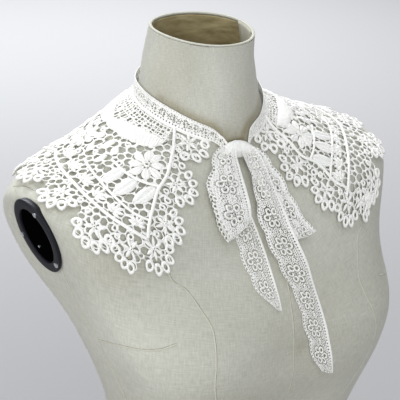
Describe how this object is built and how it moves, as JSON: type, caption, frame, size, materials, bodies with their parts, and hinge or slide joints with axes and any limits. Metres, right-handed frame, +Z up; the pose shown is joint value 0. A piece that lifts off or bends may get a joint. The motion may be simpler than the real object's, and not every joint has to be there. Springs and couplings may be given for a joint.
{
  "type": "lace cape collar with a tied lace ribbon on a limbless dress form",
  "caption": "white floral lace cape collar with scalloped pointed edges, a narrow neck band and a lace ribbon bow, worn on a linen-covered torso form",
  "frame": {"origin": "centre of the form's flat underside, on the table", "axes": "+Z up, -Y towards the front of the form, +X towards the wearer's left"},
  "size_m": [0.3904, 0.259, 0.651],
  "materials": {
    "linen_cover": "off-white woven linen cover, matte",
    "dark_plate": "satin charcoal plastic",
    "black_hole": "matte black recess",
    "white_lace": "white guipure lace, raised cotton thread",
    "ribbon_lace": "white fine net lace ribbon"
  },
  "bodies": {
    "root": {"form_torso": "linen_cover", "form_neck": "linen_cover", "arm_plate_right": "dark_plate", "arm_plate_left": "dark_plate", "arm_hole_right": "black_hole", "arm_hole_left": "black_hole", "collar_right": "white_lace", "collar_left": "white_lace", "neck_band": "white_lace", "bow_knot": "ribbon_lace", "bow_loop_right": "ribbon_lace", "bow_loop_left": "ribbon_lace", "tie_tail_right": "ribbon_lace", "tie_tail_left": "ribbon_lace"}
  },
  "joints": []
}
